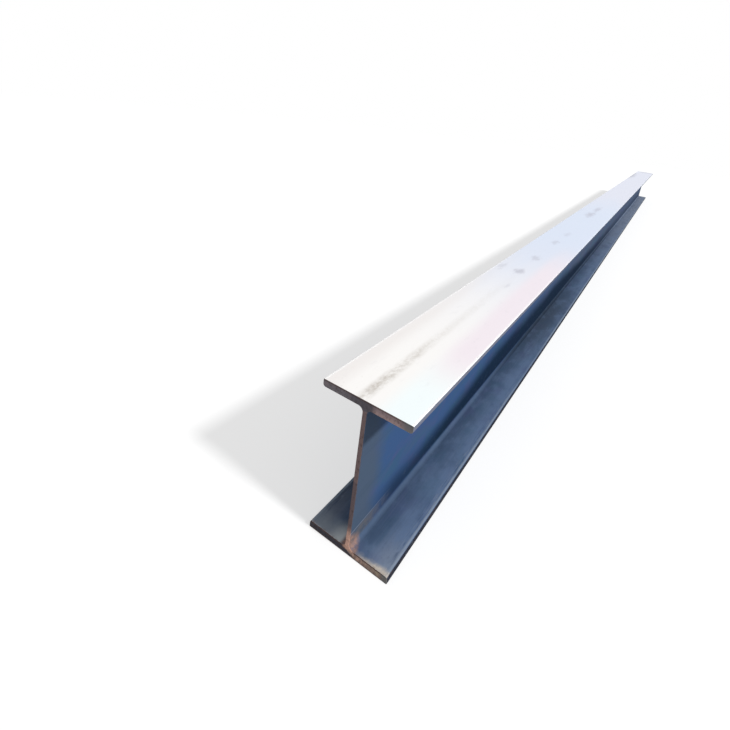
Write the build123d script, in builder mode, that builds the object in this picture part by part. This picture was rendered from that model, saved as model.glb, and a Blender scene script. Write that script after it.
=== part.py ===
from build123d import *
import os

# Hot-rolled steel H-beam: one rolled piece, cut square at both ends, lying on its bottom flange.
# X runs along the beam, Y across the flanges, Z up. The origin is at the middle of the bottom face.
# All sizes are in millimetres.

# Overall sizes
length = 6000.0
height = 310.4
flange_width = 166.9

# Walls of the rolled section
web_thickness = 7.9
flange_thickness = 13.7

# Rounding left by the rolls
root_radius = 8.9
inner_toe_radius = 5.0
outer_toe_radius = 1.5

# A round is held to this share of the room that its walls leave
fillet_share = 0.9


def limited(radius, room):
    """The radius, or as much of it as the room beside it allows."""
    return min(radius, fillet_share * room)


clear_height = height - 2 * flange_thickness
flange_overhang = (flange_width - web_thickness) / 2

with BuildPart() as h_beam:
    # The section stands across the beam: its own X is the beam's Y, and its own Y is up
    with BuildSketch(Plane.YZ) as section:
        # Bottom flange, and the top flange above it
        with Locations((0, 0), (0, height - flange_thickness)):
            Rectangle(flange_width, flange_thickness, align=(Align.CENTER, Align.MIN))
        # The web joins the two flanges
        with Locations((0, flange_thickness)):
            Rectangle(web_thickness, clear_height, align=(Align.CENTER, Align.MIN))

        # Concave roots, where the web swells into the flanges
        roots = section.vertices().filter_by_position(Axis.X, -web_thickness, web_thickness)
        fillet(roots, limited(root_radius, min(clear_height / 2, flange_overhang)))

        # Flange toes: well rounded on the side that faces the other flange
        left_toes, *_, right_toes = section.vertices().group_by(Axis.X)
        inner_toes = (left_toes + right_toes).filter_by_position(
            Axis.Y, 0, height, inclusive=(False, False)
        )
        fillet(inner_toes, limited(inner_toe_radius, flange_thickness / 2))

        # Nearly sharp on the faces that the beam is stacked by
        bottom_toes, *_, top_toes = section.vertices().group_by(Axis.Y)
        fillet(bottom_toes + top_toes, limited(outer_toe_radius, flange_thickness / 2))
    extrude(amount=length / 2, both=True)

h_beam.part.label = "h_beam"

os.makedirs("parts", exist_ok=True)
export_step(h_beam.part, "parts/h_beam.step")
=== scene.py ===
"""Looks of a hot-rolled steel H-beam: mill scale, rolling streaks, rust and sawn ends.

The frame is in metres: X along the beam, with the end nearest the camera at +X, Y across the
flanges, Z up, and the floor at Z = 0.
"""

import math

import bpy
from bpy.props import FloatProperty, FloatVectorProperty, IntProperty, PointerProperty
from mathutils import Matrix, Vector


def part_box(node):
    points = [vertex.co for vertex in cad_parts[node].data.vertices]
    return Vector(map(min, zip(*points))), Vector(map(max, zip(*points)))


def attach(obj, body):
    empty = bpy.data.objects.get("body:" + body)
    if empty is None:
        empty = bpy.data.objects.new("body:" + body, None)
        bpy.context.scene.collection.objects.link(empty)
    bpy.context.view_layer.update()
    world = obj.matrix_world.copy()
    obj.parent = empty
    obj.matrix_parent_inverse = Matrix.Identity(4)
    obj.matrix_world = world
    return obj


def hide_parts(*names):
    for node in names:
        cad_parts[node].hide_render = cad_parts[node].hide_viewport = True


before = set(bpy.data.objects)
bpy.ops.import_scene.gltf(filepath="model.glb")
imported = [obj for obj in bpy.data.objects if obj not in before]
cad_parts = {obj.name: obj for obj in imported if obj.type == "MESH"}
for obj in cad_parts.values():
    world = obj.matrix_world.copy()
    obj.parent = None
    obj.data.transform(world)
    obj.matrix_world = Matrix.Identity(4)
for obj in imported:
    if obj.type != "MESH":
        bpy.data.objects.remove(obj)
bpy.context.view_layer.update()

bl_info = {
    "name": "Rolled Steel H-Beam",
    "version": (1, 0, 0),
    "blender": (4, 5, 0),
    "location": "3D View > Sidebar > H-Beam",
    "description": "Rolls an H-beam over its packed frame and sets it on a pale studio floor",
    "category": "Object",
}

NODE = "h_beam"
BODY = "root"
PIECE = "rolled_h_beam"
MM = 0.001
WHITE = (1.0, 1.0, 1.0)

LOW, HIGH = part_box(NODE)
LENGTH = HIGH.x - LOW.x
FLANGE_WIDTH = HIGH.y - LOW.y
HEIGHT = HIGH.z - LOW.z


def screen(red, green, blue):
    """A colour read as 0 to 255 on a screen, in the linear values that Blender works in."""
    def linear(share):
        return share / 12.92 if share <= 0.04045 else ((share + 0.055) / 1.055) ** 2.4
    return tuple(linear(value / 255) for value in (red, green, blue))


def size(name, description, default):
    """A length property, in metres."""
    return FloatProperty(
        name=name, description=description, default=default,
        unit="LENGTH", subtype="DISTANCE", precision=5, min=0.0,
    )


def colour(name, description, default):
    """A colour property."""
    return FloatVectorProperty(
        name=name, description=description, default=default,
        subtype="COLOR", size=3, min=0.0, max=1.0,
    )


def level(name, description, default):
    """A plain number that isn't below zero."""
    return FloatProperty(name=name, description=description, default=default, min=0.0)


def angle(name, description, degrees):
    """An angle property, given in degrees."""
    return FloatProperty(
        name=name, description=description, default=math.radians(degrees), subtype="ANGLE",
    )


class BeamShape(bpy.types.PropertyGroup):
    """Sizes of the rolled section and of its mesh."""

    length: size("Length", "Cut length of the beam", LENGTH)
    height: size("Height", "Depth of the section", HEIGHT)
    flange_width: size("Flange Width", "Width of both flanges", FLANGE_WIDTH)
    web_thickness: size("Web Thickness", "Thickness of the web", 7.9 * MM)
    flange_thickness: size("Flange Thickness", "Thickness of both flanges", 13.7 * MM)
    root_radius: size("Root Radius", "Round between web and flange", 8.9 * MM)
    inner_toe_radius: size("Inner Toe Radius", "Round on the toe's inner corner", 5.0 * MM)
    outer_toe_radius: size("Outer Toe Radius", "Round on the toe's outer corner", 1.5 * MM)
    saw_arris: size("Saw Arris", "Width of the worn arris round each sawn end", 0.6 * MM)
    edge_wander: size("Edge Wander", "How far the toes wander in from straight", 0.4 * MM)
    nick_depth: size("Nick Depth", "Depth of the knocks along the toes", 1.0 * MM)
    ring_step: size("Ring Step", "Distance between rings of the mesh", 10.0 * MM)
    flat_step: size("Flat Step", "Widest face across a flat", 24.0 * MM)
    seed: IntProperty(name="Seed", description="Seed of the knocks and wander", default=4)


class SteelFinish(bpy.types.PropertyGroup):
    """Colours of the scale, the rust and the sawn ends, and how rough and glossy they are."""

    # The top face's near-white colours are partly pale weathered scale and partly a painted
    # reflection of the bright sky
    top_pale: colour("Top Pale", "Bright scale at the front of the top face", screen(252, 250, 248))
    top_lilac: colour("Top Lilac", "Cooler scale of the back half", screen(229, 232, 244))
    top_blue: colour("Top Blue", "Blue tint between them", screen(221, 231, 248))
    top_ice: colour("Top Ice", "Cold tint at the right front", screen(246, 254, 255))
    top_pink: colour("Top Pink", "Pink band along the right side", screen(244, 234, 241))
    top_warm: colour("Top Warm", "Warm grey along the left side", screen(234, 228, 226))
    top_streak: colour("Top Streak", "Mottled streak over the web", screen(186, 178, 168))
    top_blotch: colour("Top Blotch", "Grey blotches", screen(186, 186, 198))

    web_blue: colour("Web Blue", "Deep blue scale of the web", screen(58, 84, 124))
    web_grey: colour("Web Grey", "Grey-blue of the web's back half", screen(76, 87, 108))
    web_night: colour("Web Night", "Darkest scale low on the web", screen(18, 32, 48))
    web_teal: colour("Web Teal", "Greyer scale beside the end", screen(72, 86, 104))
    corner_dust: colour("Corner Dust", "Grey-brown dust low on the web", screen(102, 99, 100))
    violet: colour("Violet", "Violet clouds in the scale", screen(76, 82, 122))
    green_blue: colour("Green Blue", "Green-blue clouds in the scale", screen(58, 90, 112))

    # Foot Inner to Foot Outer is partly a painted shade of the corner beside the web
    foot_inner: colour("Foot Inner", "Flange scale beside the web", screen(64, 82, 108))
    foot_outer: colour("Foot Outer", "Flange scale beside the toe", screen(96, 116, 146))
    foot_dusk: colour("Foot Dusk", "Duller scale further back", screen(62, 72, 86))
    foot_far: colour("Foot Far", "Paler scale of the back half", screen(123, 133, 151))
    rubbed: colour("Rubbed", "Scale rubbed bright along edges", screen(136, 149, 166))
    # Colour of a painted highlight along the root
    root_highlight_tint: colour("Root Line", "Rubbed line along the root", screen(78, 96, 122))
    toe_grey: colour("Toe Grey", "Rolled toe of the top flange", screen(112, 116, 132))
    # Toe Dark is also laid as painted shade beside the web on the top flange's sawn end
    toe_dark: colour("Toe Dark", "Rolled toe of the bottom flange", screen(34, 38, 50))

    end_char: colour("End Char", "Dark oxide on the left of a sawn end", screen(112, 108, 114))
    end_mauve: colour("End Mauve", "Greyer rust of the top half", screen(144, 126, 128))
    end_pink: colour("End Pink", "Lit lower edge of the top flange", screen(176, 150, 146))
    end_tip: colour("End Tip", "Grey tips of the sawn flanges", screen(98, 106, 108))
    end_brown: colour("End Brown", "Brown rust of the sawn end", screen(142, 122, 114))
    end_tan: colour("End Tan", "Dry pale rust of the sawn end", screen(204, 168, 150))
    end_olive: colour("End Olive", "Dull rust further out on the bottom", screen(164, 150, 128))
    end_heel: colour("End Heel", "Salmon rust at the web's heel", screen(226, 180, 160))
    end_ash: colour("End Ash", "Pale ash on the left side of the foot", screen(208, 217, 222))
    rust_orange: colour("Rust Orange", "Fresh rust at the web's foot", screen(160, 127, 112))
    # Rust Dark is real rust and also the painted shade along the rims of the sawn ends
    dark_rust_and_shade: colour("Rust Dark", "Old rust on edges", screen(82, 66, 62))
    rust_cream: colour("Rust Cream", "Dry dust along the sawn edge", screen(206, 194, 178))

    scale_roughness: level("Scale Roughness", "Roughness of the smoothest scale", 0.45)
    grain_roughness: level("Grain Roughness", "What the grain adds to that at most", 0.3)
    sawn_roughness: level("Sawn Roughness", "Roughness of the sawn ends", 0.85)
    coat_weight: level("Coat Weight", "Satin coat on all but the web", 0.10)
    coat_roughness: level("Coat Roughness", "Roughness of the satin coat", 0.4)
    grain_strength: level("Grain Strength", "How strongly the grain catches the light", 0.35)
    grain_depth: size("Grain Depth", "Depth of the grain", 0.4 * MM)


class StudioStage(bpy.types.PropertyGroup):
    """Camera, light and floor."""

    camera_place: FloatVectorProperty(
        name="Camera Place", description="Where the camera stands",
        default=(3.4892, 0.2904, 0.7374), subtype="XYZ", unit="LENGTH", precision=4,
    )
    camera_turn: FloatVectorProperty(
        name="Camera Turn", description="The camera's rotation",
        default=tuple(math.radians(a) for a in (72.177, -7.067, 123.432)), subtype="EULER",
    )
    lens: level("Lens", "Focal length in millimetres", 22.107)
    shift: FloatVectorProperty(
        name="Shift", description="Shift of the picture, as shares of its width",
        default=(-0.0249, -0.1631), size=2,
    )
    nearest: size("Nearest", "Nearest distance that the camera shows", 0.01)
    furthest: size("Furthest", "Furthest distance that the camera shows", 200.0)

    sky_strength: level("Sky Strength", "Level of the even white light", 0.44)
    key_strength: level("Key Strength", "Level of the key light", 2.65)
    key_height: angle("Key Height", "Height of the key light, seen along the beam", 41.6)
    key_softness: angle("Key Softness", "Width of the key light", 6)

    floor_size: size("Floor Size", "Side of the square floor", 80.0)
    floor_colour: colour("Floor Colour", "Floor that lights the beam", screen(226, 226, 226))
    floor_shown: colour("Floor Shown", "Floor that the camera sees", (0.5, 0.5, 0.5))
    floor_glow: level("Floor Glow", "White glow that the camera sees on it", 0.56)
    fade_start: size("Fade Start", "Distance at which the floor starts to whiten", 5.0)
    fade_end: size("Fade End", "Distance past which the floor is plain white", 11.0)


class Graph:
    """Adds nodes to one tree and wires them, so that a tree reads as a list of steps."""

    def __init__(self, tree):
        self.tree = tree

    def add(self, kind, *values, **settings):
        """A node with its settings, its first inputs set or linked to values in order."""
        node = self.tree.nodes.new(kind)
        for name, value in settings.items():
            setattr(node, name, value)
        sockets = [s for s in node.inputs if s.enabled]
        for socket, value in zip(sockets, values):
            self.plug(value, socket)
        return node

    def plug(self, value, socket):
        """Links a socket, or sets a plain value. None leaves the socket as it is."""
        if value is None:
            return
        if isinstance(value, bpy.types.NodeSocket):
            self.tree.links.new(value, socket)
        elif socket.type == "RGBA" and len(value) == 3:
            socket.default_value = (*value, 1.0)
        else:
            socket.default_value = value

    def math(self, operation, first, second=None):
        """One sum on one or two numbers."""
        node = self.tree.nodes.new("ShaderNodeMath")
        node.operation = operation
        self.plug(first, node.inputs[0])
        self.plug(second, node.inputs[1])
        return node.outputs[0]

    def times(self, first, *others):
        """All the numbers multiplied."""
        for other in others:
            first = self.math("MULTIPLY", first, other)
        return first

    def plus(self, first, *others):
        """All the numbers added up."""
        for other in others:
            first = self.math("ADD", first, other)
        return first

    def minus(self, first, second):
        """The first number less the second."""
        return self.math("SUBTRACT", first, second)

    def rest(self, share):
        """What is left of one."""
        return self.minus(1.0, share)

    def rise(self, value, start, end):
        """A smooth step from 0 at start to 1 at end, whichever is larger."""
        node = self.tree.nodes.new("ShaderNodeMapRange")
        node.interpolation_type = "SMOOTHSTEP"
        low, high = min(start, end), max(start, end)
        to_low, to_high = (0.0, 1.0) if start < end else (1.0, 0.0)
        for socket, item in zip(node.inputs, (value, low, high, to_low, to_high)):
            self.plug(item, socket)
        return node.outputs[0]

    def band(self, value, start, end, soft):
        """1 between start and end, with soft edges of the given width."""
        into = self.rise(value, start - soft / 2, start + soft / 2)
        out = self.rise(value, end + soft / 2, end - soft / 2)
        return self.times(into, out)


class Paint(Graph):
    """A material's tree, with the beam's own coordinates and the patterns that its coat uses."""

    # Share of an oval patch's reach inside which it is full
    SPOT_CORE = 0.15

    def __init__(self, tree):
        super().__init__(tree)
        self.place = self.add("ShaderNodeTexCoord").outputs["Object"]
        self.x, self.y, self.z = self.add("ShaderNodeSeparateXYZ", self.place).outputs

    def noise(self, repeats, detail=4.0, rough=0.55, warp=0.0, at=(0.0, 0.0, 0.0)):
        """Noise with so many repeats a metre along X, Y and Z."""
        spread = self.add("ShaderNodeMapping", self.place, at, None, repeats)
        cloud = self.add("ShaderNodeTexNoise")
        for name, value in (
            ("Vector", spread.outputs[0]), ("Scale", 1.0), ("Detail", detail),
            ("Roughness", rough), ("Distortion", warp),
        ):
            self.plug(value, cloud.inputs[name])
        return cloud.outputs["Fac"]

    def drifted(self, value, cloud, reach):
        """A number that a cloud pushes up or down by as much as half the reach."""
        return self.plus(value, self.times(self.minus(cloud, 0.5), reach))

    def mix(self, share, below, above):
        """Lays the colour above over the colour below."""
        node = self.tree.nodes.new("ShaderNodeMix")
        node.data_type = "RGBA"
        self.plug(share, node.inputs["Factor"])
        self.plug(below, node.inputs[6])
        self.plug(above, node.inputs[7])
        return node.outputs[2]

    def number(self, share, below, above):
        """Blends two numbers."""
        node = self.tree.nodes.new("ShaderNodeMix")
        self.plug(share, node.inputs[0])
        self.plug(below, node.inputs[2])
        self.plug(above, node.inputs[3])
        return node.outputs[0]

    def layers(self, tone, *pairs):
        """Lays tints over a tone in order, each given as its share and its colour."""
        for share, tint in pairs:
            tone = self.mix(share, tone, tint)
        return tone

    def flecks(self, tone, *rows):
        """Lays tints over a tone where a pattern is strong. Each row is the pattern, its value
        where the tint starts and where it is full, the tint's strength and its colour."""
        for pattern, start, full, strength, tint in rows:
            tone = self.mix(self.times(self.rise(pattern, start, full), strength), tone, tint)
        return tone

    def spot(self, first, second, centre, reach, cloud, ragged):
        """An oval patch on two coordinates, 1 in the middle and 0 past its reach, with an edge
        as ragged as the cloud makes it."""
        across = self.math("DIVIDE", self.minus(first, centre[0]), reach[0])
        along = self.math("DIVIDE", self.minus(second, centre[1]), reach[1])
        far = self.math("SQRT", self.plus(self.times(across, across), self.times(along, along)))
        return self.rise(self.drifted(far, cloud, ragged), 1.0, self.SPOT_CORE)


# Sizes that the rolling tree takes in, each named as its property in the beam's shape
SIZE_INPUTS = (
    "Length", "Height", "Flange Width", "Web Thickness", "Flange Thickness", "Root Radius",
    "Inner Toe Radius", "Outer Toe Radius", "Edge Wander", "Nick Depth", "Ring Step", "Flat Step",
)


def section_tree():
    """Geometry Nodes tree that rolls the beam: an H outline with rounded roots and toes, swept
    along a straight rail, its toes wandering and knocked as on a real beam."""
    tree = bpy.data.node_groups.new("roll_h_beam", "GeometryNodeTree")
    face = tree.interface
    face.new_socket("Geometry", in_out="OUTPUT", socket_type="NodeSocketGeometry")
    for name in SIZE_INPUTS:
        face.new_socket(name, in_out="INPUT", socket_type="NodeSocketFloat")
    face.new_socket("Seed", in_out="INPUT", socket_type="NodeSocketInt")
    face.new_socket("Steel", in_out="INPUT", socket_type="NodeSocketMaterial")
    g = Graph(tree)
    given = g.add("NodeGroupInput").outputs

    outline = section_outline(g, given)
    half_length = g.math("DIVIDE", given["Length"], 2)
    half_height = g.math("DIVIDE", given["Height"], 2)
    back = g.add("ShaderNodeCombineXYZ", g.times(half_length, -1), 0.0, half_height)
    front = g.add("ShaderNodeCombineXYZ", half_length, 0.0, half_height)
    line = g.add("GeometryNodeCurvePrimitiveLine", back.outputs[0], front.outputs[0])
    rail = g.add("GeometryNodeResampleCurve", mode="LENGTH")
    g.plug(line.outputs[0], rail.inputs["Curve"])
    g.plug(given["Ring Step"], rail.inputs["Length"])
    sweep = g.add("GeometryNodeCurveToMesh")
    g.plug(rail.outputs[0], sweep.inputs["Curve"])
    g.plug(outline, sweep.inputs["Profile Curve"])
    g.plug(True, sweep.inputs["Fill Caps"])

    worn = wear_toes(g, given, sweep.outputs[0])
    smooth = smooth_sides(g, worn)
    solid = g.add("GeometryNodeRealizeInstances", smooth)
    coated = g.add("GeometryNodeSetMaterial")
    g.plug(solid.outputs[0], coated.inputs["Geometry"])
    g.plug(given["Steel"], coated.inputs["Material"])
    g.plug(coated.outputs[0], g.add("NodeGroupOutput").inputs[0])
    return tree


# The outline's corners in order round the section: how far each lies across and up from its
# middle, where a minus is the other way, and which round it gets
CORNERS = (
    ("-flange", "-outer", "outer toe"),
    ("flange", "-outer", "outer toe"),
    ("flange", "-inner", "inner toe"),
    ("web", "-inner", "root"),
    ("web", "inner", "root"),
    ("flange", "inner", "inner toe"),
    ("flange", "outer", "outer toe"),
    ("-flange", "outer", "outer toe"),
    ("-flange", "inner", "inner toe"),
    ("-web", "inner", "root"),
    ("-web", "-inner", "root"),
    ("-flange", "-inner", "inner toe"),
)

# How finely each round is divided
ARC_STEPS = {"root": 7, "inner toe": 5, "outer toe": 3}


def by_corner(g, kind, values):
    """A value for each corner of the outline, picked by the point's index."""
    switch = g.add("GeometryNodeIndexSwitch", data_type=kind)
    while len(switch.index_switch_items) < len(values):
        switch.index_switch_items.new()
    g.plug(g.add("GeometryNodeInputIndex").outputs[0], switch.inputs[0])
    for socket, value in zip(list(switch.inputs)[1:], values):
        g.plug(value, socket)
    return switch.outputs[0]


def section_outline(g, given):
    """The H outline about the rail, rounded at every corner, with its flats divided."""
    outer = g.math("DIVIDE", given["Height"], 2)
    reach = {
        "flange": g.math("DIVIDE", given["Flange Width"], 2),
        "web": g.math("DIVIDE", given["Web Thickness"], 2),
        "outer": outer,
        "inner": g.minus(outer, given["Flange Thickness"]),
    }
    for name in list(reach):
        reach["-" + name] = g.times(reach[name], -1)
    radius = {
        "root": given["Root Radius"],
        "inner toe": given["Inner Toe Radius"],
        "outer toe": given["Outer Toe Radius"],
    }

    ring = g.add("GeometryNodeCurvePrimitiveCircle", len(CORNERS))
    across = by_corner(g, "FLOAT", [reach[a] for a, _, _ in CORNERS])
    up = by_corner(g, "FLOAT", [reach[u] for _, u, _ in CORNERS])
    corner = g.add("ShaderNodeCombineXYZ", across, up, 0.0)
    shape = g.add("GeometryNodeSetPosition", ring.outputs[0], None, corner.outputs[0])
    rounded = g.add("GeometryNodeFilletCurve", mode="POLY")
    g.plug(shape.outputs[0], rounded.inputs["Curve"])
    g.plug(by_corner(g, "INT", [ARC_STEPS[k] for _, _, k in CORNERS]), rounded.inputs["Count"])
    g.plug(by_corner(g, "FLOAT", [radius[k] for _, _, k in CORNERS]), rounded.inputs["Radius"])

    # A long run between two points is cut into pieces no wider than the flat step
    points = g.add("GeometryNodeAttributeDomainSize", component="CURVE")
    g.plug(rounded.outputs[0], points.inputs[0])
    index = g.add("GeometryNodeInputIndex").outputs[0]
    after = g.math("MODULO", g.plus(index, 1), points.outputs["Point Count"])
    here = g.add("GeometryNodeInputPosition").outputs[0]
    there = g.add("GeometryNodeFieldAtIndex", data_type="FLOAT_VECTOR", domain="POINT")
    g.plug(here, there.inputs["Value"])
    g.plug(after, there.inputs["Index"])
    run = g.add("ShaderNodeVectorMath", here, there.outputs[0], operation="DISTANCE")
    cuts = g.math("FLOOR", g.math("DIVIDE", run.outputs["Value"], given["Flat Step"]))
    divided = g.add("GeometryNodeSubdivideCurve", rounded.outputs[0], cuts)
    return divided.outputs[0]


# Wear of the toes: how far in from the tip it reaches, and the noises of the slow wander and of
# the knocks, in repeats a metre. A knock starts at one value of its noise and is full at another
WEAR_REACH = 6 * MM
WANDER_REPEATS = (3.0, 9.0, 9.0)
KNOCK_REPEATS = (38.0, 60.0, 60.0)
KNOCK_SEED_SHIFT = 0.5
KNOCK_START = 0.62
KNOCK_FULL = 0.78


def wear_toes(g, given, mesh):
    """Moves the toes inwards a little: a slow wander along the beam, and short knocks."""
    position = g.add("GeometryNodeInputPosition").outputs[0]
    across = g.add("ShaderNodeSeparateXYZ", position).outputs["Y"]
    half_flange = g.math("DIVIDE", given["Flange Width"], 2)
    toe = g.rise(g.minus(half_flange, g.math("ABSOLUTE", across)), WEAR_REACH, 0.0)

    def cloud(repeats, shift):
        stretch = g.add("ShaderNodeVectorMath", position, repeats, operation="MULTIPLY")
        spread = g.add("ShaderNodeTexNoise", noise_dimensions="4D")
        g.plug(stretch.outputs[0], spread.inputs["Vector"])
        g.plug(g.plus(given["Seed"], shift), spread.inputs["W"])
        g.plug(1.0, spread.inputs["Scale"])
        return spread.outputs["Fac"]

    wander = g.times(cloud(WANDER_REPEATS, 0.0), given["Edge Wander"])
    knocks = g.rise(cloud(KNOCK_REPEATS, KNOCK_SEED_SHIFT), KNOCK_START, KNOCK_FULL)
    wear = g.plus(wander, g.times(knocks, given["Nick Depth"]))
    inward = g.times(wear, toe, g.math("SIGN", across), -1.0)
    offset = g.add("ShaderNodeCombineXYZ", 0.0, inward, 0.0)
    moved = g.add("GeometryNodeSetPosition", mesh, None, None, offset.outputs[0])
    return moved.outputs[0]


# A face whose normal runs along the beam by more than this share is part of a sawn end
SAWN_FACING = 0.5


def smooth_sides(g, mesh):
    """Shades the rolled faces smooth and leaves the two sawn ends flat."""
    normal = g.add("GeometryNodeInputNormal").outputs[0]
    along = g.math("ABSOLUTE", g.add("ShaderNodeSeparateXYZ", normal).outputs["X"])
    rolled = g.add("FunctionNodeCompare", along, SAWN_FACING, operation="LESS_THAN")
    shade = g.add("GeometryNodeSetShadeSmooth", mesh, None, rolled.outputs[0])
    return shade.outputs[0]


class Regions:
    """Where on the beam a point lies: distances in metres, and shares from 0 to 1."""

    def __init__(self, p, shape):
        foot = shape.flange_thickness
        web = shape.web_thickness
        top = shape.height
        head = top - foot
        tip = shape.flange_width / 2
        middle = top / 2
        self.foot, self.head, self.tip = foot, head, tip

        # Distances back from the near end, from the nearer end and to either side of the web
        self.back = p.minus(shape.length / 2, p.x)
        self.from_end = p.minus(shape.length / 2, p.math("ABSOLUTE", p.x))
        self.side = p.math("ABSOLUTE", p.y)
        self.low_half = p.rise(p.z, middle + 1 * MM, middle - 1 * MM)

        # The top face, the underside and the toes, each fading in across its rounded edge
        deep, shallow = 1.3 * MM, 0.5 * MM
        self.top = p.rise(p.z, top - deep, top - shallow)
        self.base = p.rise(p.z, deep, shallow)
        self.toe = p.times(p.rise(self.side, tip - 3.0 * MM, tip - 1.2 * MM), p.rest(self.top))

        # The web fades in up the roots
        into_web, full_web = 0.35 * shape.root_radius, 0.95 * shape.root_radius
        above_foot = p.rise(p.z, foot + into_web, foot + full_web)
        below_head = p.rise(p.z, head - into_web, head - full_web)
        self.web = p.times(above_foot, below_head)
        self.sawn = p.rise(self.from_end, 0.7 * MM, 0.25 * MM)

        # Rims of the sawn ends, where painted shade darkens the arrises: both edges of the bottom
        # flange, the upper edge of the top one, and both edges of the web at half strength
        mid_flange = (top - foot) / 2
        off_middle = p.math("ABSOLUTE", p.minus(p.z, middle))
        off_flange = p.math("ABSOLUTE", p.minus(off_middle, mid_flange))
        foot_rim = p.rise(off_flange, 0.28 * foot, 0.42 * foot)
        head_rim = p.rise(p.z, top - 0.3 * foot, top - 0.1 * foot)
        web_rim = p.times(p.rise(self.side, 0.30 * web, 0.47 * web), 0.5)
        self.rim = p.number(self.web, p.number(self.low_half, head_rim, foot_rim), web_rim)

        # Lower edge of the top flange
        lower_edge = p.rise(p.z, head + 0.6 * foot, head + 0.2 * foot)
        self.under = p.times(lower_edge, p.rest(self.low_half))


# Grey blotches of the top face: how far back and across the middle of each lies, how far it
# reaches along and across, and how strong it is
TOP_BLOTCHES = (
    ((0.805, -0.012), (0.040, 0.022), 0.60),
    ((0.81, -0.066), (0.05, 0.014), 0.30),
    ((0.99, -0.012), (0.045, 0.020), 0.45),
    ((0.66, 0.000), (0.03, 0.010), 0.25),
    ((1.27, -0.012), (0.05, 0.016), 0.40),
    ((1.46, -0.008), (0.06, 0.018), 0.25),
    ((2.06, -0.014), (0.13, 0.026), 0.55),
    ((2.28, -0.010), (0.15, 0.020), 0.45),
    ((5.97, 0.020), (0.16, 0.090), 0.45),
    ((5.93, -0.020), (0.12, 0.040), 0.25),
    ((5.15, -0.085), (0.55, 0.050), 0.75),
)
BLOTCH_RAGGED = 2.4


def top_colour(p, at, c):
    """Near-white top face, partly pale weathered scale and partly a painted reflection of the
    bright
    sky on the scale: icy at the right front, a pink band along the right side, warm grey on the
    left, cooler further back, a mottled streak over the web and blotches."""
    drift = p.noise((1.3, 7.0, 1.0), detail=3.0, at=(0.3, 0.1, 0.0))
    across = p.drifted(p.y, drift, 0.04)
    back = p.drifted(at.back, drift, 0.9)

    # Broad tints
    cool = p.rise(at.back, 0.05, 1.25)
    blue = p.times(p.band(back, 1.0, 2.6, 0.9), 0.8)
    ice = p.times(p.rise(across, 0.005, 0.04), p.rise(at.back, 0.26, 0.05))
    pink_run = p.times(p.rise(at.back, 0.08, 0.26), p.rise(at.back, 1.3, 0.8))
    pink = p.times(p.rise(across, 0.01, 0.05), pink_run, 0.9)
    warm = p.times(p.rise(across, -0.036, -0.07), p.rise(at.back, 1.2, 0.1), 0.5)

    # Mottled streak just left of the middle, strongest at the front, and stray specks beside it
    specks = p.noise((110.0, 170.0, 1.0), detail=5.0, rough=0.65, at=(1.7, 0.4, 0.0))
    patchy = p.noise((22.0, 30.0, 1.0), detail=2.0, at=(0.2, 2.4, 0.0))
    line = p.band(p.drifted(p.y, drift, 0.01), -0.0175, -0.0015, 0.014)
    front_part = p.times(p.rise(at.back, 0.36, 0.02), 0.78)
    back_part = p.times(p.rise(at.back, 0.9, 0.3), 0.22)
    speckled = p.times(p.rise(specks, 0.28, 0.68), 0.5)
    patched = p.times(p.rise(patchy, 0.35, 0.6), 0.28)
    streak = p.times(line, p.plus(front_part, back_part), p.plus(speckled, patched, 0.06))
    left_front = p.times(p.rise(at.back, 0.12, 0.0), p.rise(across, 0.0, -0.05))
    stray = p.times(p.rise(specks, 0.6, 0.74), left_front, 0.35)

    tone = p.layers(
        c.top_pale, (cool, c.top_lilac), (blue, c.top_blue), (ice, c.top_ice),
        (pink, c.top_pink), (warm, c.top_warm), (streak, c.top_streak), (stray, c.top_streak),
    )
    cloud = p.noise((30.0, 90.0, 1.0), detail=6.0, rough=0.75, at=(3.1, 0.2, 0.0))
    for centre, reach, strength in TOP_BLOTCHES:
        patch = p.spot(at.back, p.y, centre, reach, cloud, BLOTCH_RAGGED)
        tone = p.mix(p.times(patch, strength), tone, c.top_blotch)

    # Fine grain everywhere, and a rubbed bright rim along both edges, brightest at the front
    fine = p.noise((40.0, 90.0, 1.0), detail=5.0, rough=0.6)
    tone = p.flecks(tone, (fine, 0.56, 0.8, 0.12, c.top_blotch))
    bright = p.plus(p.times(p.rise(at.back, 1.2, 0.2), 0.6), 0.15)
    rim = p.times(p.rise(at.side, at.tip - 6.45 * MM, at.tip - 2.25 * MM), bright)
    return p.mix(rim, tone, WHITE)


def clouded(p, tone, c, repeats, strength, at=0.0):
    """Lays soft violet and green-blue clouds over a colour, as mill scale has."""
    for tint, shift in ((c.violet, 0.7), (c.green_blue, 3.9)):
        cloud = p.noise(repeats, detail=3.0, rough=0.5, warp=0.6, at=(shift, at, shift))
        tone = p.flecks(tone, (cloud, 0.48, 0.68, strength, tint))
    return tone


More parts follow.
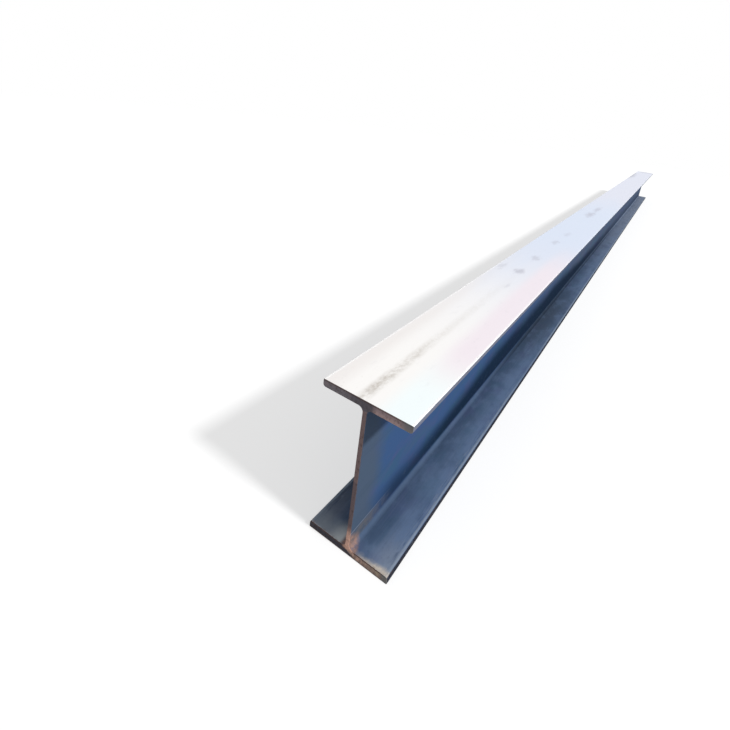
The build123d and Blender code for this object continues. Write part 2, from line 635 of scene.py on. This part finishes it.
def web_colour(p, at, c, shape):
    """Blue scale of the web: greyer beside the ends and further back, navy low down, with a dry
    corner over the foot at each end."""
    cloud = p.noise((3.0, 4.0, 9.0), detail=4.0, at=(0.5, 2.0, 0.0))
    streaks = p.noise((1.4, 1.0, 42.0), detail=4.0, rough=0.6, at=(0.0, 0.0, 0.7))
    grain = p.noise((70.0, 70.0, 110.0), detail=5.0, rough=0.65)
    height = p.drifted(p.z, cloud, 0.05)

    greyer = p.rise(p.drifted(at.back, cloud, 1.0), 0.4, 2.2)
    tone = p.mix(greyer, c.web_blue, c.web_grey)
    tone = clouded(p, tone, c, (9.0, 9.0, 16.0), 0.45)
    beside_end = p.times(p.rise(p.drifted(at.from_end, cloud, 0.09), 0.085, 0.03), 0.9)
    tone = p.mix(beside_end, tone, c.web_teal)

    # Navy zone along the foot of the web: low at the front, higher round a metre back, lower
    # and fainter behind that
    reach = p.number(p.rise(at.back, 0.2, 0.8), 0.053, 0.090)
    reach = p.number(p.rise(at.back, 1.4, 2.3), reach, 0.056)
    low = p.rise(p.minus(height, reach), 0.042, -0.022)
    fainter = p.number(p.rise(at.back, 1.8, 4.2), 1.0, 0.35)
    # Kept off the root near the front, which is left lighter as a painted highlight on the round
    off_root = p.math("MAXIMUM", p.rise(p.z, 0.014, 0.026), p.rise(at.back, 0.5, 1.2))
    off_end = p.rise(p.drifted(at.from_end, cloud, 0.08), 0.03, 0.14)
    strength = p.number(p.rise(at.back, 0.12, 0.40), 0.66, 0.87)
    navy = p.times(low, fainter, off_root, off_end, strength)
    tone = p.mix(navy, tone, c.web_night)
    tone = p.flecks(
        tone, (streaks, 0.5, 0.75, 0.1, c.web_night), (grain, 0.54, 0.74, 0.25, c.web_grey)
    )

    # Dry brown-grey patch in the corner by the foot, with a rubbed line over it
    corner_top = shape.flange_thickness + 33 * MM
    in_corner = p.rise(height, corner_top, corner_top - 12 * MM)
    dust = p.times(in_corner, p.rise(at.from_end, 0.15, 0.04), p.rise(grain, 0.25, 0.6), 0.6)
    over_corner = p.band(p.z, corner_top - 1.5 * MM, corner_top + 1 * MM, 2 * MM)
    rub = p.times(over_corner, p.rise(at.from_end, 0.14, 0.02), 0.6)
    return p.layers(tone, (dust, c.corner_dust), (rub, c.foot_far))


def foot_colour(p, at, c, shape):
    """Slate scale inside the flanges: darker beside the web, partly as painted shade of the corner,
    paler outwards and towards the ends, with fine rolling lines, a rubbed line along the toe and
    scratches beside it."""
    lines = p.noise((5.0, 260.0, 60.0), detail=4.0, rough=0.6, at=(0.0, 0.3, 0.0))
    cloud = p.noise((13.0, 26.0, 10.0), detail=5.0, rough=0.6, at=(1.0, 0.0, 0.5))
    grain = p.noise((90.0, 130.0, 90.0), detail=5.0, rough=0.65)
    scratches = p.noise((34.0, 420.0, 60.0), detail=3.0, rough=0.6, at=(0.0, 1.3, 0.0))
    side = p.drifted(at.side, cloud, 0.05)

    # Darker beside the web and paler towards the toe, partly as painted shade of the corner by the
    # web
    tone = p.mix(p.rise(side, 0.012, 0.072), c.foot_inner, c.foot_outer)
    tone = clouded(p, tone, c, (12.0, 30.0, 8.0), 0.28, at=1.3)

    # Broad zones: duller past a metre, darker on the left as painted shade, paler at the back and
    # beside the ends
    dull_run = p.times(p.rise(at.back, 0.7, 1.2), p.rise(at.back, 1.9, 1.3))
    dull = p.times(dull_run, p.rise(side, 0.12, 0.03), 0.7)
    # Painted shade on the left side of the flanges
    left = p.times(p.rise(p.y, -0.03, -0.07), 0.75)
    outward = p.number(p.rise(side, 0.006, 0.034), 0.58, 0.88)
    # The paler back is partly a paler scale and partly painted sheen of the flange
    far = p.times(p.rise(at.back, 1.4, 4.4), outward)
    beside_end = p.rise(p.drifted(at.from_end, cloud, 0.12), 0.11, 0.015)
    near = p.times(beside_end, p.rise(side, 0.03, 0.06), 0.6)
    bare = p.times(p.rise(at.from_end, 0.07, 0.0), p.rise(side, 0.05, 0.075), 0.5)
    tone = p.layers(
        tone, (dull, c.foot_dusk), (left, c.foot_dusk), (far, c.foot_far),
        (near, c.foot_far), (bare, c.rubbed),
    )
    tone = p.flecks(
        tone,
        (lines, 0.48, 0.72, 0.08, c.foot_far), (lines, 0.5, 0.3, 0.08, c.foot_dusk),
        (cloud, 0.5, 0.66, 0.26, c.foot_outer), (cloud, 0.46, 0.32, 0.26, c.foot_inner),
        (grain, 0.52, 0.74, 0.16, c.foot_dusk),
    )

    # A line along the root: a painted highlight on the round at the front, and dark further back
    root_start = shape.web_thickness / 2
    root = p.band(at.side, root_start + 1 * MM, root_start + shape.root_radius, 3 * MM)
    root_highlight = p.times(root, p.rise(at.back, 1.0, 0.3), 0.45)
    root_dark = p.times(root, p.rise(at.back, 0.5, 1.0), p.rise(at.back, 4.0, 2.6), 0.7)

    # A rubbed line just inside the toe, and scratches next to it towards the ends
    toe_line = p.band(at.side, at.tip - 6.5 * MM, at.tip - 3.2 * MM, 2 * MM)
    toe_rub = p.times(toe_line, p.number(p.band(at.back, 0.65, 1.0, 0.2), 0.85, 0.3))
    scratched = p.band(at.side, at.tip - 15.45 * MM, at.tip - 3.45 * MM, 6 * MM)
    beside_toe = p.times(scratched, p.rise(at.from_end, 1.0, 0.3))
    pale_scratch = p.times(beside_toe, p.rise(scratches, 0.54, 0.66), 0.5)
    dark_scratch = p.times(beside_toe, p.rise(scratches, 0.46, 0.36), 0.5)
    return p.layers(
        tone, (root_highlight, c.root_highlight_tint), (root_dark, c.web_night), (toe_rub, c.rubbed),
        (pale_scratch, c.foot_far), (dark_scratch, c.foot_inner),
    )


def base_colour(p, c):
    """Underside that the beam lies on: dull scale with scuffs along it and brown stains."""
    broad = p.noise((2.0, 12.0, 1.0), detail=5.0, rough=0.6, at=(0.6, 0.2, 0.0))
    scuffs = p.noise((3.0, 160.0, 1.0), detail=5.0, rough=0.65, at=(0.1, 0.7, 0.0))
    stains = p.noise((14.0, 22.0, 1.0), detail=6.0, rough=0.7, at=(2.3, 0.0, 0.0))
    tone = p.mix(p.rise(broad, 0.35, 0.65), c.foot_dusk, c.foot_outer)
    return p.flecks(
        tone, (scuffs, 0.54, 0.7, 0.5, c.rubbed), (stains, 0.56, 0.72, 0.55, c.dark_rust_and_shade)
    )


def rust(p, tone, at, c):
    """Rust round the sawn ends: orange at the foot of the web, pale ash on the left of the
    bottom flange, dry cream dust on the right of it, and dark crumbs along the cut."""
    crumbs = p.noise((150.0, 150.0, 150.0), detail=5.0, rough=0.7)
    cloud = p.noise((30.0, 30.0, 30.0), detail=4.0, at=(0.4, 0.9, 0.0))
    away = p.drifted(at.from_end, cloud, 0.03)
    on_foot = p.rise(p.z, 0.10, 0.05)

    # Orange, which reaches further along the left side of the web than along the right
    low = p.rise(p.z, 0.062, 0.016)
    longest = p.number(p.rise(p.y, -0.003, 0.003), 0.036, 0.022)
    reach = p.times(low, p.rise(at.side, 0.024, 0.007), longest)
    tongue = p.times(p.rise(p.minus(away, reach), 0.007, -0.008), p.rise(low, 0.0, 0.3))
    orange = p.times(tongue, p.plus(p.times(p.rise(crumbs, 0.36, 0.6), 0.5), 0.35))

    # Ash on the left, thinner towards the toe
    inner_ash = p.times(p.rise(p.y, -0.048, -0.018), 0.7)
    outer_ash = p.times(p.rise(p.y, -0.095, -0.050), 0.3)
    left = p.times(p.rise(p.y, -0.010, -0.018), p.plus(inner_ash, outer_ash))
    ash = p.times(p.rise(away, 0.048, 0.004), left, p.rise(p.z, 0.05, 0.03), 0.95)

    # Cream dust on the right, wider towards the toe, with a violet blush behind it
    widening = p.times(p.rise(p.y, 0.03, 0.078), 0.005)
    strip = p.rise(p.minus(away, widening), 0.012, 0.001)
    dusty = p.plus(p.times(p.rise(crumbs, 0.35, 0.6), 0.3), 0.6)
    cream = p.times(strip, p.rise(p.y, 0.004, 0.050), on_foot, dusty)
    behind = p.times(p.band(at.from_end, 0.010, 0.026, 0.012), p.band(p.y, 0.012, 0.056, 0.02))
    blush = p.times(behind, on_foot, p.rise(cloud, 0.4, 0.6), 0.25)

    cut = p.times(p.rise(at.from_end, 0.0045, 0.001), p.rise(crumbs, 0.45, 0.6), 0.45)
    return p.layers(
        tone, (orange, c.rust_orange), (ash, c.end_ash), (cream, c.rust_cream),
        (blush, c.violet), (cut, c.dark_rust_and_shade),
    )


def toe_colour(p, at, c):
    """Rolled toes: grey-blue on the top flange, nearly black on the bottom one, with crumbs."""
    crumbs = p.noise((60.0, 120.0, 120.0), detail=5.0, rough=0.7)
    head = p.mix(p.rise(at.back, 0.2, 1.2), c.toe_grey, c.web_grey)
    tone = p.mix(at.low_half, head, c.toe_dark)
    return p.flecks(
        tone, (crumbs, 0.5, 0.7, 0.45, c.dark_rust_and_shade), (crumbs, 0.45, 0.3, 0.25, c.foot_far)
    )


def end_colour(p, at, c):
    """Sawn end: char on the left, with painted shade beside the web on the top flange, mauve rust
    on the web and the right half of the top flange, brown rust on the right half of the bottom one,
    salmon at the web's heel, and painted shade along the rims."""
    mottle = p.noise((1.0, 150.0, 150.0), detail=5.0, rough=0.65)
    broad = p.noise((1.0, 30.0, 30.0), detail=3.0, at=(0.0, 0.2, 0.9))

    # Rust starts near the middle, and further right at the bottom face and on the top flange
    right_below = p.times(p.rise(p.z, at.foot - 0.7 * MM, 1 * MM), 0.019)
    right_above = p.times(p.rise(p.z, at.head - 11.7 * MM, at.head - 0.7 * MM), 0.018)
    across = p.minus(p.drifted(p.y, broad, 0.02), p.plus(right_below, right_above))
    rusted = p.math("MAXIMUM", p.rise(across, -0.009, 0.002), at.web)

    # Char, darker on the bottom flange, with painted shade beside the web on the top one
    dark_below = p.times(at.low_half, 0.8)
    mauve_specks = p.times(p.rise(mottle, 0.46, 0.62), p.number(at.low_half, 0.4, 0.1))
    painted_shade_above = p.times(p.rise(p.y, -0.05, -0.012), p.rest(at.low_half), 0.45)
    char = p.layers(
        c.end_char, (dark_below, c.toe_dark), (mauve_specks, c.end_mauve), (painted_shade_above, c.toe_dark)
    )

    # Rust, with dry patches on the bottom flange and a lit lower edge on the top one
    brown = p.times(at.low_half, p.rest(at.web))
    patches = p.rise(p.drifted(mottle, broad, 0.5), 0.44, 0.66)
    dry = p.times(rusted, patches, brown, 0.8)
    dry_tint = p.mix(p.rise(p.y, 0.03, 0.055), c.end_tan, c.end_olive)
    lit_edge = p.times(at.under, rusted, 0.6)
    tone = p.mix(rusted, char, p.mix(brown, c.end_mauve, c.end_brown))
    tone = p.layers(tone, (dry, dry_tint), (lit_edge, c.end_pink))
    tone = p.flecks(tone, (mottle, 0.5, 0.34, 0.5, c.dark_rust_and_shade))

    # A darker web, painted shade along the rims, the web's heel and the grey right tips
    web_rust = p.times(at.web, 0.3)
    web_shade = p.times(at.web, 0.34)
    painted_rim_shade = p.times(at.rim, p.number(brown, 0.7, 0.95))
    heel_up = p.times(p.rise(p.z, 0.064, 0.036), p.rise(p.z, 0.0075, 0.0135))
    heel_across = p.times(p.rise(at.side, 0.017, 0.010), p.rise(p.y, -0.012, -0.003))
    heel = p.times(heel_up, heel_across, p.number(p.rise(mottle, 0.36, 0.6), 0.5, 0.9))
    upper_tip = p.rise(p.y, at.tip - 25.45 * MM, at.tip - 9.45 * MM)
    lower_tip = p.rise(p.y, at.tip - 17.45 * MM, at.tip - 7.45 * MM)
    tips = p.number(at.low_half, upper_tip, lower_tip)
    return p.layers(
        tone, (web_rust, c.dark_rust_and_shade), (web_shade, c.toe_dark), (painted_rim_shade, c.dark_rust_and_shade),
        (heel, c.end_heel), (p.times(tips, 0.7), c.end_tip),
    )


def steel_material(shape, c):
    """One coat for the whole beam, told apart by where on the beam a point lies."""
    material = bpy.data.materials.new("rolled_steel")
    material.use_nodes = True
    tree = material.node_tree
    tree.nodes.clear()
    p = Paint(tree)
    at = Regions(p, shape)

    tone = foot_colour(p, at, c, shape)
    tone = p.mix(at.web, tone, web_colour(p, at, c, shape))
    tone = rust(p, tone, at, c)
    tone = p.layers(
        tone, (at.base, base_colour(p, c)), (at.toe, toe_colour(p, at, c)),
        (at.top, top_colour(p, at, c)), (at.sawn, end_colour(p, at, c)),
    )

    grain = p.noise((120.0, 160.0, 160.0), detail=6.0, rough=0.6)
    scale_roughness = p.plus(p.times(grain, c.grain_roughness), c.scale_roughness)
    bump = p.add("ShaderNodeBump")
    bump.inputs["Strength"].default_value = c.grain_strength
    bump.inputs["Distance"].default_value = c.grain_depth
    p.plug(grain, bump.inputs["Height"])

    # The scale has no gloss of its own, because it would turn the web white at a low angle
    shader = p.add("ShaderNodeBsdfPrincipled")
    shader.inputs["Specular IOR Level"].default_value = 0.0
    shader.inputs["Coat Roughness"].default_value = c.coat_roughness
    p.plug(tone, shader.inputs["Base Color"])
    p.plug(p.number(at.sawn, scale_roughness, c.sawn_roughness), shader.inputs["Roughness"])
    p.plug(p.times(p.rest(at.web), c.coat_weight), shader.inputs["Coat Weight"])
    p.plug(bump.outputs[0], shader.inputs["Normal"])
    p.add("ShaderNodeOutputMaterial", shader.outputs[0])
    return material


def as_plain_mesh(worker, name):
    """The worker's mesh with its modifiers applied, as a new object at the origin."""
    graph = bpy.context.evaluated_depsgraph_get()
    mesh = bpy.data.meshes.new_from_object(worker.evaluated_get(graph), depsgraph=graph)
    mesh.name = name
    for modifier in list(worker.modifiers):
        worker.modifiers.remove(modifier)
    bpy.data.objects.remove(worker)
    piece = bpy.data.objects.new(name, mesh)
    bpy.context.scene.collection.objects.link(piece)
    return piece


# The worn arris is cut where faces meet at more than this angle, in so many steps
ARRIS_ANGLE = math.radians(60)
ARRIS_STEPS = 2

# Normals follow the largest faces fully, so that the flats beside the arris stay flat
FLATS_WEIGHT = 100


class OBJECT_OT_roll_h_beam(bpy.types.Operator):
    """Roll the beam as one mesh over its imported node, coat it and let it ride on its body"""

    bl_idname = "object.roll_h_beam"
    bl_label = "Roll H-Beam"

    def execute(self, context):
        shape = context.scene.beam_shape
        tree = section_tree()
        worker = bpy.data.objects.new("beam_worker", bpy.data.meshes.new("beam_worker"))
        context.scene.collection.objects.link(worker)
        nodes = worker.modifiers.new("roll", "NODES")
        nodes.node_group = tree
        values = {name: getattr(shape, name.lower().replace(" ", "_")) for name in SIZE_INPUTS}
        values["Seed"] = shape.seed
        values["Steel"] = steel_material(shape, context.scene.steel_finish)
        for item in tree.interface.items_tree:
            if item.in_out == "INPUT":
                nodes[item.identifier] = values[item.name]
        arris = worker.modifiers.new("saw_arris", "BEVEL")
        arris.limit_method = "ANGLE"
        arris.angle_limit = ARRIS_ANGLE
        arris.width = shape.saw_arris
        arris.segments = ARRIS_STEPS
        weighted = worker.modifiers.new("even_flats", "WEIGHTED_NORMAL")
        weighted.weight = FLATS_WEIGHT
        weighted.keep_sharp = True

        piece = as_plain_mesh(worker, PIECE)
        if len(piece.data.polygons) == 0:
            raise RuntimeError("the beam came out empty")
        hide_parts(NODE)
        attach(piece, BODY)
        return {"FINISHED"}


def showing_rays(g):
    """1 for the rays that show a surface: to the camera, in a reflection or through glass."""
    ray = g.add("ShaderNodeLightPath").outputs
    shown = g.math("MAXIMUM", ray["Is Camera Ray"], ray["Is Glossy Ray"])
    return g.math("MAXIMUM", shown, ray["Is Transmission Ray"])


def white_world(strength):
    """Even light on the beam, and plain white wherever the backdrop or a reflection shows."""
    world = bpy.data.worlds.new("studio_white")
    world.use_nodes = True
    tree = world.node_tree
    tree.nodes.clear()
    g = Graph(tree)
    brightness = g.plus(g.times(showing_rays(g), 1.0 - strength), strength)
    sky = g.add("ShaderNodeBackground", WHITE, brightness)
    g.add("ShaderNodeOutputWorld", sky.outputs[0])
    bpy.context.scene.world = world


def floor_material(stage):
    """Pale floor that lights the beam evenly, and looks white except where the beam shades it."""
    material = bpy.data.materials.new("pale_floor")
    material.use_nodes = True
    tree = material.node_tree
    tree.nodes.clear()
    g = Graph(tree)
    seen = showing_rays(g)
    paper = g.add("ShaderNodeBsdfDiffuse", stage.floor_colour)
    dim = g.add("ShaderNodeBsdfDiffuse", stage.floor_shown)
    glow = g.add("ShaderNodeEmission", WHITE, stage.floor_glow)
    lit = g.add("ShaderNodeAddShader", dim.outputs[0], glow.outputs[0])
    both = g.add("ShaderNodeMixShader", seen, paper.outputs[0], lit.outputs[0])

    # Far from the beam the floor is plain white, so that it meets the backdrop unseen
    place = g.add("ShaderNodeTexCoord").outputs["Object"]
    reach = g.add("ShaderNodeVectorMath", place, operation="LENGTH").outputs["Value"]
    away = g.times(g.rise(reach, stage.fade_start, stage.fade_end), seen)
    white = g.add("ShaderNodeEmission", WHITE, 1.0)
    faded = g.add("ShaderNodeMixShader", away, both.outputs[0], white.outputs[0])
    g.add("ShaderNodeOutputMaterial", faded.outputs[0])
    return material


class SCENE_OT_set_studio(bpy.types.Operator):
    """Lay the pale floor, light it softly and place the camera"""

    bl_idname = "scene.set_studio"
    bl_label = "Set Studio"

    def execute(self, context):
        stage = context.scene.studio_stage
        half = stage.floor_size / 2
        mesh = bpy.data.meshes.new("studio_floor")
        corners = [(-half, -half, 0), (half, -half, 0), (half, half, 0), (-half, half, 0)]
        mesh.from_pydata(corners, [], [(0, 1, 2, 3)])
        mesh.materials.append(floor_material(stage))
        floor = bpy.data.objects.new("studio_floor", mesh)
        context.scene.collection.objects.link(floor)

        white_world(stage.sky_strength)
        key = bpy.data.lights.new("key_light", "SUN")
        key.energy = stage.key_strength
        key.angle = stage.key_softness
        lamp = bpy.data.objects.new("key_light", key)
        towards = Vector((0.0, math.cos(stage.key_height), math.sin(stage.key_height)))
        lamp.rotation_euler = towards.to_track_quat("Z", "Y").to_euler()
        context.scene.collection.objects.link(lamp)

        lens = bpy.data.cameras.new("studio_camera")
        lens.lens = stage.lens
        lens.shift_x, lens.shift_y = stage.shift
        lens.clip_start = stage.nearest
        lens.clip_end = stage.furthest
        camera = bpy.data.objects.new("studio_camera", lens)
        camera.location = stage.camera_place
        camera.rotation_euler = stage.camera_turn
        context.scene.collection.objects.link(camera)
        context.scene.camera = camera
        context.scene.view_settings.view_transform = "Standard"
        return {"FINISHED"}


class VIEW3D_PT_h_beam(bpy.types.Panel):
    """Sidebar panel with the beam's sizes and colours and the two steps that make it"""

    bl_label = "H-Beam"
    bl_idname = "VIEW3D_PT_h_beam"
    bl_space_type = "VIEW_3D"
    bl_region_type = "UI"
    bl_category = "H-Beam"

    def draw(self, context):
        scene = context.scene
        for title, settings, operator in (
            ("Beam", scene.beam_shape, OBJECT_OT_roll_h_beam),
            ("Finish", scene.steel_finish, None),
            ("Stage", scene.studio_stage, SCENE_OT_set_studio),
        ):
            box = self.layout.box()
            box.label(text=title)
            for name in settings.__annotations__:
                box.prop(settings, name)
            if operator:
                box.operator(operator.bl_idname)


CLASSES = (
    BeamShape, SteelFinish, StudioStage,
    OBJECT_OT_roll_h_beam, SCENE_OT_set_studio, VIEW3D_PT_h_beam,
)


def register():
    """Makes the classes known and hangs the three groups of settings on the scene."""
    for cls in CLASSES:
        bpy.utils.register_class(cls)
    bpy.types.Scene.beam_shape = PointerProperty(type=BeamShape)
    bpy.types.Scene.steel_finish = PointerProperty(type=SteelFinish)
    bpy.types.Scene.studio_stage = PointerProperty(type=StudioStage)


def unregister():
    """Takes back what register did."""
    del bpy.types.Scene.studio_stage
    del bpy.types.Scene.steel_finish
    del bpy.types.Scene.beam_shape
    for cls in reversed(CLASSES):
        bpy.utils.unregister_class(cls)


def main():
    """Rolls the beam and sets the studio."""
    register()
    bpy.ops.object.roll_h_beam()
    bpy.ops.scene.set_studio()


if __name__ == "__main__":
    main()
